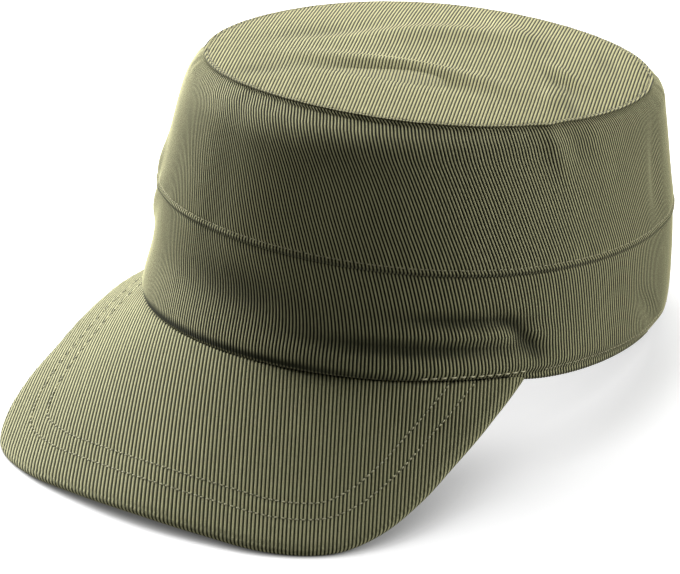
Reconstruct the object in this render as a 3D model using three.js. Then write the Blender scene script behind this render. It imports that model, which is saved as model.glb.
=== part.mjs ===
// A cadet cap in ribbed twill: a band round the head, a side wall and a domed oval top sewn above it, and a stiff
// sloping peak. It rests on a table on its back hem and on the front of its peak, so it leans back a little.
// Millimetres and degrees, +Z up, the peak towards -Y. The origin is on the table, under the middle of the cap.
import * as THREE from 'three';

// Driving dimensions of the crown
const HEAD_HALF_WIDTH = 84;
const HEAD_FRONT = 102;
const HEAD_BACK = 103.5;
const CORNER_FULLNESS = 0.02;
const CROWN_HEIGHT = 85;
const RIM_DROP = 1.3;
const RIM_TURN = 16;
const SEAM_HEIGHT = 36.4;
const SEAM_RISE = 6;
const HEM_DROP = 2.9;
const HEM_DROP_LENGTH = 60;
const TOP_RISE = 4.6;
const BAND_CLOTH = 2;
const CROWN_CLOTH = 1.6;
const TOP_CLOTH = 1.6;
const SEAM_LAP = 0.5;
const SEAM_GAP = 0.3;
const FOLD_DEPTH = 2.5;

// Driving dimensions of the peak
const PEAK_REACH = 68;
const PEAK_SPREAD = 67;
const PEAK_SLOPE = 40;
const PEAK_THICKNESS = 3.2;
const PEAK_TUCK = 3;

// How far the cloth is pressed flat where it meets the table
const TABLE_PRESS = 0.5;

// Sections of the wall from the hem up. height is a share of CROWN_HEIGHT, and width, front and back are shares of
// HEAD_HALF_WIDTH, HEAD_FRONT and HEAD_BACK.
const WALL_SECTIONS = [
  { height: 0.0, width: 0.985, front: 1.015, back: 0.99 },
  { height: 0.045, width: 1.009, front: 1.004, back: 1 },
  { height: 0.2, width: 1.012, front: 0.939, back: 0.998 },
  { height: 0.45, width: 1.012, front: 0.923, back: 0.948 },
  { height: 0.66, width: 0.973, front: 0.93, back: 0.926 },
  { height: 0.875, width: 0.928, front: 0.924, back: 0.899 },
  { height: 0.955, width: 0.909, front: 0.88, back: 0.875 },
  { height: 1.0, width: 0.865, front: 0.808, back: 0.795 },
];

// Folds and dents of the wall. angle is in degrees from the front towards +X, height and across are shares of
// CROWN_HEIGHT, along is a share of HEAD_HALF_WIDTH, turn tips the fold's long way up from level, and depth is a
// share of FOLD_DEPTH, with dents below zero.
const WALL_FOLDS = [
  { angle: 40, height: 0.128, along: 0.38, across: 0.036, turn: 0, depth: -0.95 },
  { angle: 52, height: 0.232, along: 0.2, across: 0.04, turn: -3, depth: -0.85 },
  { angle: 66, height: 0.15, along: 0.07, across: 0.035, turn: -65, depth: -0.8 },
  { angle: 51, height: 0.182, along: 0.24, across: 0.035, turn: 0, depth: 0.55 },
  { angle: 35, height: 0.05, along: 0.45, across: 0.04, turn: 0, depth: 0.45 },
  { angle: -5, height: 0.23, along: 0.3, across: 0.05, turn: 0, depth: -0.3 },
  { angle: -58, height: 0.28, along: 0.22, across: 0.045, turn: 38, depth: 0.7 },
  { angle: -64, height: 0.07, along: 0.1, across: 0.04, turn: 75, depth: 0.5 },
  { angle: -54, height: 0.52, along: 0.1, across: 0.06, turn: 80, depth: 0.5 },
  { angle: -15, height: 0.56, along: 0.3, across: 0.07, turn: 80, depth: -0.6 },
  { angle: 74, height: 0.93, along: 0.1, across: 0.03, turn: -62, depth: -1 },
  { angle: -14, height: 0.97, along: 0.05, across: 0.04, turn: -70, depth: -0.5 },
  { angle: 109, height: 0.69, along: 0.2, across: 0.06, turn: 85, depth: -0.8 },
  { angle: 107, height: 0.13, along: 0.14, across: 0.05, turn: -35, depth: -0.8 },
  { angle: 160, height: 0.55, along: 0.25, across: 0.1, turn: 70, depth: -0.5 },
  { angle: -150, height: 0.3, along: 0.3, across: 0.1, turn: 20, depth: 0.4 },
  { angle: -105, height: 0.62, along: 0.22, across: 0.08, turn: 80, depth: -0.5 },
];

// Soft ridges and hollows of the top. right and along are shares of HEAD_HALF_WIDTH, back and across are shares of
// HEAD_FRONT, turn is in degrees from +X towards the back, and rise is a share of FOLD_DEPTH.
const TOP_RIDGES = [
  { right: 0.1, back: -0.27, along: 0.42, across: 0.06, turn: 20, rise: 1 },
  { right: 0.05, back: -0.38, along: 0.36, across: 0.05, turn: 18, rise: -0.7 },
  { right: 0.55, back: 0.16, along: 0.14, across: 0.035, turn: -32, rise: 0.9 },
  { right: 0.6, back: 0.08, along: 0.15, across: 0.035, turn: -32, rise: -0.8 },
  { right: 0.7, back: -0.12, along: 0.12, across: 0.03, turn: -51, rise: 0.9 },
  { right: 0.77, back: -0.09, along: 0.12, across: 0.03, turn: -51, rise: -0.8 },
  { right: 0.08, back: 0.43, along: 0.35, across: 0.06, turn: -43, rise: 0.6 },
  { right: 0.2, back: 0.76, along: 0.1, across: 0.03, turn: -40, rise: 0.5 },
  { right: 0.63, back: 0.52, along: 0.2, across: 0.04, turn: -46, rise: 0.9 },
  { right: 0.53, back: 0.45, along: 0.2, across: 0.04, turn: -46, rise: -0.5 },
  { right: -0.34, back: -0.62, along: 0.14, across: 0.05, turn: 50, rise: -0.6 },
  { right: -0.12, back: 0.2, along: 0.45, across: 0.11, turn: 50, rise: 0.8 },
  { right: -0.45, back: -0.05, along: 0.3, across: 0.08, turn: 60, rise: -0.7 },
];

// Outline of the peak from its left corner to its right one. spread, reach, slope and thickness are shares of
// PEAK_SPREAD, PEAK_REACH, PEAK_SLOPE and PEAK_THICKNESS. The left corner reaches further back and lies flatter.
const PEAK_SECTIONS = [
  { spread: -1.2, reach: 0.0, slope: 0.62, thickness: 0.55 },
  { spread: -1.1, reach: 0.125, slope: 0.66, thickness: 0.85 },
  { spread: -1.0, reach: 0.21, slope: 0.72, thickness: 1 },
  { spread: -0.86, reach: 0.305, slope: 0.81, thickness: 1 },
  { spread: -0.7, reach: 0.5, slope: 0.9, thickness: 1 },
  { spread: -0.6, reach: 0.7, slope: 0.925, thickness: 1 },
  { spread: -0.507, reach: 0.888, slope: 0.95, thickness: 1 },
  { spread: -0.42, reach: 1.005, slope: 0.965, thickness: 1 },
  { spread: -0.3, reach: 1.025, slope: 0.98, thickness: 1 },
  { spread: -0.15, reach: 0.993, slope: 1.0, thickness: 1 },
  { spread: 0.0, reach: 0.98, slope: 1.0, thickness: 1 },
  { spread: 0.15, reach: 0.993, slope: 1.0, thickness: 1 },
  { spread: 0.3, reach: 1.025, slope: 0.98, thickness: 1 },
  { spread: 0.42, reach: 0.99, slope: 0.965, thickness: 1 },
  { spread: 0.507, reach: 0.874, slope: 0.95, thickness: 1 },
  { spread: 0.6, reach: 0.68, slope: 0.925, thickness: 1 },
  { spread: 0.7, reach: 0.458, slope: 0.9, thickness: 1 },
  { spread: 0.83, reach: 0.224, slope: 0.864, thickness: 1 },
  { spread: 0.92, reach: 0.096, slope: 0.83, thickness: 0.85 },
  { spread: 1.0, reach: 0.0, slope: 0.8, thickness: 0.55 },
];

// How finely the faces are laid
const WALL_COLUMNS = 90;
const BAND_ROWS = 8;
const CROWN_ROWS = 8;
const TOP_RINGS = 6;
const PEAK_COLUMNS = 42;
const PEAK_ROWS = 8;
const ROLL_STEPS = 4;

const FULL_TURN = 2 * Math.PI;
const { degToRad, clamp } = THREE.MathUtils;

// Reads a column of a table between its rows, on a smooth curve through them.
function readTable(table, place, column, where) {
  const last = table.length - 1;
  const at = clamp(where, table[0][place], table[last][place]);
  const above = clamp(table.findIndex((row) => row[place] >= at), 1, last);
  const slopeAt = (index) => {
    const before = table[Math.max(index - 1, 0)];
    const after = table[Math.min(index + 1, last)];
    return (after[column] - before[column]) / (after[place] - before[place]);
  };
  const low = table[above - 1];
  const high = table[above];
  const span = high[place] - low[place];
  const t = (at - low[place]) / span;
  const rest = 1 - t;
  return (1 + 2 * t) * rest * rest * low[column]
    + t * rest * rest * span * slopeAt(above - 1)
    + (3 - 2 * t) * t * t * high[column]
    - t * t * rest * span * slopeAt(above);
}

// How much of a fold's full depth shows at a distance from its middle, along it and across it.
function foldShare(x, y, turn, along, across) {
  const cos = Math.cos(degToRad(turn));
  const sin = Math.sin(degToRad(turn));
  const a = (x * cos + y * sin) / along;
  const b = (y * cos - x * sin) / across;
  return Math.exp(-a * a - b * b);
}

// The plain oval of the wall at a height over the hem, a little full at its corners, and the way it faces there.
function wallOval(angle, height) {
  const level = height / CROWN_HEIGHT;
  const facesFront = Math.cos(angle) > 0;
  const halfWidth = HEAD_HALF_WIDTH * readTable(WALL_SECTIONS, 'height', 'width', level);
  const reach = facesFront
    ? HEAD_FRONT * readTable(WALL_SECTIONS, 'height', 'front', level)
    : HEAD_BACK * readTable(WALL_SECTIONS, 'height', 'back', level);
  const fullness = 1 + CORNER_FULLNESS * Math.sin(2 * angle) ** 2;
  const facing = new THREE.Vector3(Math.sin(angle) / halfWidth, -Math.cos(angle) / reach, 0).normalize();
  const point = new THREE.Vector3(halfWidth * Math.sin(angle), -reach * Math.cos(angle), 0)
    .multiplyScalar(fullness).setZ(height);
  return { point, facing };
}

// How far the folds push the wall out of its plain oval.
function wallFoldAt(angle, height) {
  let out = 0;
  for (const fold of WALL_FOLDS) {
    const turned = angle - degToRad(fold.angle);
    const around = Math.atan2(Math.sin(turned), Math.cos(turned)) * HEAD_HALF_WIDTH;
    const up = height - fold.height * CROWN_HEIGHT;
    const share = foldShare(around, up, fold.turn, fold.along * HEAD_HALF_WIDTH, fold.across * CROWN_HEIGHT);
    out += fold.depth * FOLD_DEPTH * share;
  }
  return out;
}

function wallPoint(angle, height) {
  const { point, facing } = wallOval(angle, height);
  return point.addScaledVector(facing, wallFoldAt(angle, height));
}

// The seam runs level round the front and higher round the back, and the rim is lowest at its two sides.
const seamHeight = (angle) => SEAM_HEIGHT + SEAM_RISE * ((1 - Math.cos(angle)) / 2) ** 2;
const rimHeight = (angle) => CROWN_HEIGHT - RIM_DROP * Math.sin(angle - degToRad(RIM_TURN)) ** 2;

// How far the hem sags beyond each corner of the peak.
function hemDrop(angle) {
  const turned = Math.atan2(Math.sin(angle), Math.cos(angle));
  const corner = PEAK_SPREAD * (turned > 0 ? PEAK_SECTIONS.at(-1).spread : -PEAK_SECTIONS[0].spread);
  const beyond = (Math.abs(turned) - degToRad(corner)) / degToRad(HEM_DROP_LENGTH);
  return HEM_DROP * Math.sin(Math.PI * clamp(beyond, 0, 1) ** 0.6);
}

// The band ends below in a rolled hem, half its cloth's thickness high.
function bandPoint(u, v) {
  const angle = u * FULL_TURN;
  const foot = BAND_CLOTH / 2 - hemDrop(angle);
  const head = seamHeight(angle) - SEAM_GAP / 2;
  return wallPoint(angle, foot + v * (head - foot));
}

// The crown's side laps over the band at their seam and comes back to the plain wall a little higher.
function crownSidePoint(u, v) {
  const angle = u * FULL_TURN;
  const foot = seamHeight(angle) + SEAM_GAP / 2;
  const head = rimHeight(angle) - SEAM_GAP / 2;
  const height = foot + v * (head - foot);
  const { facing } = wallOval(angle, height);
  return wallPoint(angle, height).addScaledVector(facing, SEAM_LAP * (1 - v) ** 4);
}

function topPoint(u, v) {
  const angle = u * FULL_TURN;
  const rim = wallPoint(angle, rimHeight(angle));
  const x = rim.x * v;
  const y = rim.y * v;
  let rise = TOP_RISE;
  for (const ridge of TOP_RIDGES) {
    const right = x - ridge.right * HEAD_HALF_WIDTH;
    const back = y - ridge.back * HEAD_FRONT;
    const share = foldShare(right, back, ridge.turn, ridge.along * HEAD_HALF_WIDTH, ridge.across * HEAD_FRONT);
    rise += ridge.rise * FOLD_DEPTH * share;
  }
  const lowered = (CROWN_HEIGHT - rimHeight(angle)) * v * v;
  const height = CROWN_HEIGHT - lowered + SEAM_GAP / 2 + TOP_CLOTH + rise * (1 - v * v);
  return new THREE.Vector3(x, y, height);
}

const spreadAt = (u) => THREE.MathUtils.lerp(PEAK_SECTIONS[0].spread, PEAK_SECTIONS.at(-1).spread, u);

// The peak's upper face, from its outer edge up to the hem, and level where it is tucked in under the band.
function peakPoint(u, v) {
  const spread = spreadAt(u);
  const angle = degToRad(PEAK_SPREAD) * spread;
  const { point, facing } = wallOval(angle, 0);
  const reach = Math.max(0, PEAK_REACH * readTable(PEAK_SECTIONS, 'spread', 'reach', spread));
  const slope = degToRad(PEAK_SLOPE * readTable(PEAK_SECTIONS, 'spread', 'slope', spread));
  const hemShare = Math.min(1 - 1 / PEAK_ROWS, reach / (PEAK_TUCK + reach));
  const out = v < hemShare ? reach * (1 - v / hemShare) : 0;
  const tucked = v > hemShare ? PEAK_TUCK * (v - hemShare) / (1 - hemShare) : 0;
  point.addScaledVector(facing, out * Math.cos(slope) - tucked);
  point.z -= out * Math.sin(slope) + SEAM_GAP;
  return point;
}

const peakThickness = (u) => (
  PEAK_THICKNESS * readTable(PEAK_SECTIONS, 'spread', 'thickness', spreadAt(u))
);

// The way a face looks at a place, for faces whose u runs round towards +X and whose v runs up.
function faceNormal(pointAt, u, v) {
  const step = 1e-3;
  const around = pointAt(u + step, v).sub(pointAt(u - step, v));
  const up = pointAt(u, Math.min(v + step, 1)).sub(pointAt(u, Math.max(v - step, 0)));
  return around.cross(up).normalize();
}

// One section through a sheet of cloth, as a closed loop: down its outer face, round its foot and up its inner face.
function sectionLoop(pointAt, u, rows, thickness, rolls) {
  const shares = Array.from({ length: rows + 1 }, (_, row) => 1 - row / rows);
  const outer = shares.map((v) => pointAt(u, v));
  const inner = shares.map((v) => pointAt(u, v).addScaledVector(faceNormal(pointAt, u, v), -thickness));
  const roll = [];
  if (rolls) {
    const middle = outer[rows].clone().add(inner[rows]).multiplyScalar(0.5);
    const across = outer[rows].clone().sub(middle);
    const run = outer[rows].clone().sub(outer[rows - 1]);
    const down = run.addScaledVector(across, -run.dot(across) / across.lengthSq()).setLength(across.length());
    for (let step = 1; step < ROLL_STEPS; step += 1) {
      const bend = (step / ROLL_STEPS) * Math.PI;
      roll.push(middle.clone().addScaledVector(across, Math.cos(bend)).addScaledVector(down, Math.sin(bend)));
    }
  }
  return [...outer, ...roll, ...inner.reverse()];
}

// The faces between neighbouring loops of one size.
function facesBetween(loopPairs, size) {
  const faces = [];
  for (const [here, next] of loopPairs) {
    for (let place = 0; place < size; place += 1) {
      const after = (place + 1) % size;
      faces.push(here + place, here + after, next + after);
      faces.push(here + place, next + after, next + place);
    }
  }
  return faces;
}

// A closed ring of cloth.
function ringSheet(pointAt, rows, thickness, rolls) {
  const columns = Array.from({ length: WALL_COLUMNS }, (_, column) => column);
  const loops = columns.map((column) => sectionLoop(pointAt, column / WALL_COLUMNS, rows, thickness, rolls));
  const size = loops[0].length;
  const pairs = columns.map((column) => [column * size, ((column + 1) % WALL_COLUMNS) * size]);
  return { points: loops.flat(), faces: facesBetween(pairs, size) };
}

// A strip of cloth with a closed end each side.
function stripSheet(pointAt, columns, rows, thicknessAt) {
  const loops = [];
  for (let column = 0; column <= columns; column += 1) {
    const u = column / columns;
    loops.push(sectionLoop(pointAt, u, rows, thicknessAt(u), true));
  }
  const size = loops[0].length;
  const pairs = loops.slice(1).map((_, column) => [column * size, (column + 1) * size]);
  const faces = facesBetween(pairs, size);
  const end = columns * size;
  for (let place = 0; place < size / 2 - 1; place += 1) {
    const mirror = size - 1 - place;
    faces.push(place, mirror, place + 1, end + place, end + place + 1, end + mirror);
    if (place + 1 < mirror - 1) {
      faces.push(place + 1, mirror, mirror - 1, end + place + 1, end + mirror - 1, end + mirror);
    }
  }
  return { points: loops.flat(), faces };
}

// A dome of cloth: sections run from its middle out to the rim and back under it, and share their two end points.
function domeSheet(pointAt, rings, thickness) {
  const middle = pointAt(0, 0);
  const points = [middle, middle.clone().setZ(middle.z - thickness)];
  const size = 2 * rings;
  const faces = [];
  for (let column = 0; column < WALL_COLUMNS; column += 1) {
    const shares = Array.from({ length: rings }, (_, ring) => (ring + 1) / rings);
    const outer = shares.map((v) => pointAt(column / WALL_COLUMNS, v));
    const inner = outer.map((point) => point.clone().setZ(point.z - thickness));
    points.push(...outer, ...inner.reverse());
    const here = 2 + column * size;
    const next = 2 + ((column + 1) % WALL_COLUMNS) * size;
    faces.push(0, here, next, 1, next + size - 1, here + size - 1);
    for (let place = 0; place < size - 1; place += 1) {
      faces.push(here + place, here + place + 1, next + place + 1);
      faces.push(here + place, next + place + 1, next + place);
    }
  }
  return { points, faces };
}

const band = ringSheet(bandPoint, BAND_ROWS, BAND_CLOTH, true);
const crownSide = ringSheet(crownSidePoint, CROWN_ROWS, CROWN_CLOTH, false);
const topPanel = domeSheet(topPoint, TOP_RINGS, TOP_CLOTH);
const peak = stripSheet(peakPoint, PEAK_COLUMNS, PEAK_ROWS, peakThickness);

// How low a sheet reaches once the cap leans back by an angle.
function lowestOf(sheet, lean) {
  const heights = sheet.points.map(({ y, z }) => z * Math.cos(lean) - y * Math.sin(lean));
  return Math.min(...heights);
}

// The cap leans back until its band and its peak reach equally low, found by halving.
function restingLean() {
  let low = 0;
  let high = Math.PI / 4;
  for (let halving = 0; halving < 40; halving += 1) {
    const lean = (low + high) / 2;
    if (lowestOf(band, lean) > lowestOf(peak, lean)) low = lean;
    else high = lean;
  }
  return low;
}

const restLean = restingLean();
const tableHeight = lowestOf(band, restLean) + TABLE_PRESS;
const levelWay = new THREE.Vector3(1, 0, 0);

function restOnTable(point) {
  const rested = point.clone().applyAxisAngle(levelWay, -restLean);
  rested.z = Math.max(rested.z - tableHeight, 0);
  return rested;
}

function piece(name, sheet, colour) {
  const geometry = new THREE.BufferGeometry().setFromPoints(sheet.points.map(restOnTable));
  geometry.setIndex(sheet.faces);
  geometry.computeVertexNormals();
  const cloth = new THREE.MeshStandardMaterial({ color: colour, roughness: 0.9, metalness: 0 });
  const mesh = new THREE.Mesh(geometry, cloth);
  mesh.name = name;
  return mesh;
}

const cap = new THREE.Group();
cap.add(
  piece('band', band, 0x6f7150),
  piece('crown_side', crownSide, 0x74764f),
  piece('top_panel', topPanel, 0x83855c),
  piece('peak', peak, 0x787a55),
);

// The origin goes under the middle of the whole cap.
const middle = new THREE.Box3().setFromObject(cap).getCenter(new THREE.Vector3());
cap.position.set(-middle.x, -middle.y, 0);

export default cap;
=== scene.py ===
import math

import bpy
import numpy as np
from mathutils import Matrix, Vector


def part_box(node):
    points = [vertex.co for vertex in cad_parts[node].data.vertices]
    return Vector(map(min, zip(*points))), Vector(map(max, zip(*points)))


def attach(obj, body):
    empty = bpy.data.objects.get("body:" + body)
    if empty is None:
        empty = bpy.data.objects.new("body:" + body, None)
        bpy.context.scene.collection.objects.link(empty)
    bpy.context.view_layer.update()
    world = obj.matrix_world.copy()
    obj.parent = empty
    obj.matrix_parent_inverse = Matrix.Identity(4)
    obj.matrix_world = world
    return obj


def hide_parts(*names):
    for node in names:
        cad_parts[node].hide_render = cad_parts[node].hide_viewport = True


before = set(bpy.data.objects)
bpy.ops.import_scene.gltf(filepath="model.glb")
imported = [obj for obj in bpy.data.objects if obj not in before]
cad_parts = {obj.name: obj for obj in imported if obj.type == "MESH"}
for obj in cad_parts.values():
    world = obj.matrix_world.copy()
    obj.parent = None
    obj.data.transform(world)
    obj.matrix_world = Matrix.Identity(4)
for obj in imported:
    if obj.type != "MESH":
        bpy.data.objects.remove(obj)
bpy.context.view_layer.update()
bpy.ops.object.select_all(action="DESELECT")

# A cadet cap in ribbed twill. Its forms are worked out in millimetres and degrees in the cap's own frame,
# with the hem level at zero and the peak towards -Y, then leaned onto the table and made metres.
MM = 0.001

# Crown
HEAD_HALF_WIDTH = 84.0
HEAD_FRONT = 102.0
HEAD_BACK = 103.5
CORNER_FULLNESS = 0.02
CROWN_HEIGHT = 85.0
RIM_DROP = 1.3
RIM_TURN = 16.0
SEAM_HEIGHT = 36.4
SEAM_RISE = 6.0
HEM_DROP = 2.9
HEM_DROP_LENGTH = 60.0
TOP_RISE = 4.6
BAND_CLOTH = 2.0
CROWN_CLOTH = 1.6
TOP_CLOTH = 1.6
SEAM_LAP = 0.5
SEAM_GAP = 0.3
FOLD_DEPTH = 2.5

# Peak
PEAK_REACH = 68.0
PEAK_SPREAD = 67.0
PEAK_SLOPE = 40.0
PEAK_THICKNESS = 3.2
PEAK_TUCK = 3.0

# The roll of the peak's edge grows from nothing over this length beyond each corner, its rows are spaced for
# this length, and the yarns of its underside are this much further along.
CORNER_TAPER = 3.0
LONGEST_CHORD = 90.0
UNDERSIDE_SHIFT = 6.0

# How far the cloth is pressed flat on the table
TABLE_PRESS = 0.5

# The band laps over each corner of the peak by this much, in radians.
CORNER_COVER = 0.07

# Radius of the turned edge of the top, and how far the side reaches up behind it.
TOP_ROLL = 0.35
SIDE_PAST_RIM = 1.45

# Rows of stitches, each at its distance from its edge. The hem's row starts low at the corner of the peak and
# takes HEM_STITCH_RUN, in radians, to reach its full height.
HEM_STITCH = 4.6
HEM_STITCH_START = 1.5
HEM_STITCH_RUN = 0.36
SEAM_STITCH = 1.4
TOP_STITCH = 1.5
PEAK_STITCHES = (11.3, 17.8)

# Sections of the wall from the hem up: height, then width, front and back, as shares of the crown's sizes.
WALL_SECTIONS = np.array([
    (0.0, 0.985, 1.015, 0.99),
    (0.045, 1.009, 1.004, 1.0),
    (0.2, 1.012, 0.939, 0.998),
    (0.45, 1.012, 0.923, 0.948),
    (0.66, 0.973, 0.93, 0.926),
    (0.875, 0.928, 0.924, 0.899),
    (0.955, 0.909, 0.88, 0.875),
    (1.0, 0.865, 0.808, 0.795),
])
WIDTH, FRONT, BACK = 1, 2, 3

# Folds of the wall: angle from the front, height, length along, width across, turn, depth.
WALL_FOLDS = [
    (40, 0.128, 0.38, 0.036, 0, -0.95),
    (48, 0.236, 0.25, 0.034, -2, -0.85),
    (64, 0.165, 0.12, 0.03, -36, -0.9),
    (51, 0.182, 0.24, 0.035, 0, 0.55),
    (35, 0.05, 0.45, 0.04, 0, 0.45),
    (-4, 0.24, 0.3, 0.09, 0, -0.45),
    (-58, 0.28, 0.22, 0.045, 38, 0.7),
    (-64, 0.07, 0.1, 0.04, 75, 0.5),
    (-54, 0.52, 0.1, 0.06, 80, 0.5),
    (-15, 0.56, 0.3, 0.09, 80, -0.15),
    (71, 0.92, 0.11, 0.045, -62, 0.6),
    (79, 0.9, 0.13, 0.06, -60, -0.22),
    (-14, 0.93, 0.08, 0.07, -70, -0.12),
    (109, 0.69, 0.2, 0.06, 85, -0.5),
    (107, 0.13, 0.14, 0.05, -35, -0.6),
    (160, 0.55, 0.25, 0.1, 70, -0.5),
    (-150, 0.3, 0.3, 0.1, 20, 0.4),
    (-105, 0.62, 0.22, 0.08, 80, -0.5),
]

# Ridges and hollows of the top: right, back, length along, width across, turn, rise.
RIDGE_HEIGHT = 3.3
TOP_RIDGES = [
    (0.1, -0.27, 0.42, 0.06, 20, 1),
    (0.05, -0.38, 0.36, 0.05, 18, -0.7),
    (0.55, 0.16, 0.14, 0.035, -32, 0.9),
    (0.6, 0.08, 0.15, 0.035, -32, -0.8),
    (0.7, -0.12, 0.12, 0.03, -51, 0.9),
    (0.77, -0.09, 0.12, 0.03, -51, -0.8),
    (0.08, 0.43, 0.35, 0.06, -43, 0.6),
    (0.2, 0.76, 0.1, 0.03, -40, 0.5),
    (0.63, 0.52, 0.2, 0.04, -46, 0.9),
    (0.53, 0.45, 0.2, 0.04, -46, -0.5),
    (-0.34, -0.62, 0.14, 0.05, 50, -0.6),
    (-0.12, 0.2, 0.45, 0.11, 50, 0.8),
    (-0.45, -0.05, 0.3, 0.08, 60, -0.7),
]

# Outline of the peak from its left corner to its right one: spread, reach, slope, thickness.
PEAK_SECTIONS = np.array([
    (-1.2, 0.0, 0.62, 0.55),
    (-1.1, 0.125, 0.66, 0.85),
    (-1.0, 0.21, 0.72, 1.0),
    (-0.86, 0.305, 0.81, 1.0),
    (-0.7, 0.5, 0.9, 1.0),
    (-0.6, 0.7, 0.925, 1.0),
    (-0.507, 0.888, 0.95, 1.0),
    (-0.42, 1.005, 0.965, 1.0),
    (-0.3, 1.025, 0.98, 1.0),
    (-0.15, 0.993, 1.0, 1.0),
    (0.0, 0.98, 1.0, 1.0),
    (0.15, 0.993, 1.0, 1.0),
    (0.3, 1.025, 0.98, 1.0),
    (0.42, 0.99, 0.965, 1.0),
    (0.507, 0.874, 0.95, 1.0),
    (0.6, 0.68, 0.925, 1.0),
    (0.7, 0.458, 0.9, 1.0),
    (0.83, 0.224, 0.864, 1.0),
    (0.92, 0.096, 0.83, 0.85),
    (1.0, 0.0, 0.8, 0.55),
])
REACH, SLOPE, THICKNESS = 1, 2, 3

# Ribs of the twill: their spacing, their height, and their lean off each panel's straight line with the foot
# to the right. They fade out this near to a panel's edge.
WALL_RIB = 1.21
TOP_RIB = 1.16
PEAK_RIB = 1.33
RIB_HEIGHT = 0.17
WALL_RIB_LEAN = 19.0
TOP_RIB_LEAN = 27.0
PEAK_RIB_LEAN = 26.0
TOP_RIB_FADE = 2.2
PEAK_RIB_FADE = 2.4

# The ribs swing up to this much further round where the side curves in to the rim, and not at all at this
# angle from the front.
RIM_PULL = 22.0
LEAST_PULL_ANGLE = 100.0

# Painted shade in folds: a fold of the wall sunk in this far or more is painted in full shade.
# The top's hollows are painted with only a share of that shade.
HOLLOW_DEPTH = 1.7
TOP_HOLLOW_DEPTH = 3.6
TOP_HOLLOW_SHARE = 0.55


def read_table(table, column, where):
    """Reads a column of a table between its rows, on a smooth curve through them."""
    at, values = table[:, 0], table[:, column]
    slopes = np.empty(len(at))
    slopes[0] = (values[1] - values[0]) / (at[1] - at[0])
    slopes[-1] = (values[-1] - values[-2]) / (at[-1] - at[-2])
    slopes[1:-1] = (values[2:] - values[:-2]) / (at[2:] - at[:-2])
    where = np.clip(where, at[0], at[-1])
    low = np.clip(np.searchsorted(at, where, side="left") - 1, 0, len(at) - 2)
    span = at[low + 1] - at[low]
    t = (where - at[low]) / span
    rest = 1 - t
    return (
        (1 + 2 * t) * rest * rest * values[low]
        + t * rest * rest * span * slopes[low]
        + (3 - 2 * t) * t * t * values[low + 1]
        - t * t * rest * span * slopes[low + 1]
    )


def fold_share(x, y, turn, along, across):
    """How much of a fold's full depth shows at a distance from its middle."""
    cos, sin = math.cos(math.radians(turn)), math.sin(math.radians(turn))
    return np.exp(-(((x * cos + y * sin) / along) ** 2) - ((y * cos - x * sin) / across) ** 2)


def unit(vectors):
    return vectors / np.maximum(np.linalg.norm(vectors, axis=-1, keepdims=True), 1e-12)


def wall_oval(angle, height):
    """The plain oval of the wall at a height over the hem, and the way it faces."""
    level = height / CROWN_HEIGHT
    half_width = HEAD_HALF_WIDTH * read_table(WALL_SECTIONS, WIDTH, level)
    reach = np.where(
        np.cos(angle) > 0,
        HEAD_FRONT * read_table(WALL_SECTIONS, FRONT, level),
        HEAD_BACK * read_table(WALL_SECTIONS, BACK, level),
    )
    fullness = 1 + CORNER_FULLNESS * np.sin(2 * angle) ** 2
    point = np.stack(np.broadcast_arrays(
        half_width * fullness * np.sin(angle), -reach * fullness * np.cos(angle), height,
    ), -1)
    facing = np.stack(
        np.broadcast_arrays(np.sin(angle) / half_width, -np.cos(angle) / reach, 0 * height), -1
    )
    return point, unit(facing)


def wall_folds(angle, height):
    out = np.zeros(np.broadcast(angle, height).shape)
    for fold_angle, fold_height, along, across, turn, depth in WALL_FOLDS:
        turned = angle - math.radians(fold_angle)
        around = np.arctan2(np.sin(turned), np.cos(turned)) * HEAD_HALF_WIDTH
        up = height - fold_height * CROWN_HEIGHT
        out += depth * FOLD_DEPTH * fold_share(
            around, up, turn, along * HEAD_HALF_WIDTH, across * CROWN_HEIGHT
        )
    return out


def wall_fold_shade(angle, height):
    """Painted shade on a place in a fold of the front, by how far in it lies, from nought to one."""
    turned = np.degrees(np.abs(np.arctan2(np.sin(angle), np.cos(angle))))
    return np.clip(-wall_folds(angle, height) / HOLLOW_DEPTH, 0, 1) * np.clip((95 - turned) / 25, 0, 1)


def wall_point(angle, height):
    point, facing = wall_oval(angle, height)
    return point + facing * wall_folds(angle, height)[..., None]


def seam_height(angle):
    """The seam over the band, level round the front and higher round the back."""
    return SEAM_HEIGHT + SEAM_RISE * ((1 - np.cos(angle)) / 2) ** 2


def rim_height(angle):
    return CROWN_HEIGHT - RIM_DROP * np.sin(angle - math.radians(RIM_TURN)) ** 2


def beyond_peak(angle):
    """How far round the back a place lies from the nearer corner of the peak, in radians."""
    turned = np.arctan2(np.sin(angle), np.cos(angle))
    corner = np.where(turned > 0, PEAK_SECTIONS[-1, 0], -PEAK_SECTIONS[0, 0]) * math.radians(PEAK_SPREAD)
    return np.abs(turned) - corner + CORNER_COVER


def hem_drop(angle):
    """How far the hem sags beyond each corner of the peak."""
    share = np.clip(beyond_peak(angle) / math.radians(HEM_DROP_LENGTH), 0, 1)
    return HEM_DROP * np.sin(math.pi * share**0.6)


def hem_stitch_height(angle):
    """The hem's stitches rise from the corner of the peak to their full height."""
    share = np.clip(beyond_peak(angle) / HEM_STITCH_RUN, 0, 1)
    return HEM_STITCH_START + (HEM_STITCH - HEM_STITCH_START) * share * (2 - share) - hem_drop(angle)


def hump(distance, middle, width):
    """A soft rise of one at a place, as wide as it says."""
    return np.exp(-(((distance - middle) / width) ** 2))


def ripple(angle, count, phase):
    """A slow waver round the cap, for pulled stitches."""
    return np.sin(count * angle + phase) * 0.6 + np.sin((2 * count - 9) * angle + 2.1 * phase) * 0.4


def band_foot(angle):
    return BAND_CLOTH / 2 - hem_drop(angle)


def band_head(angle):
    return seam_height(angle) - SEAM_GAP / 2


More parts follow.
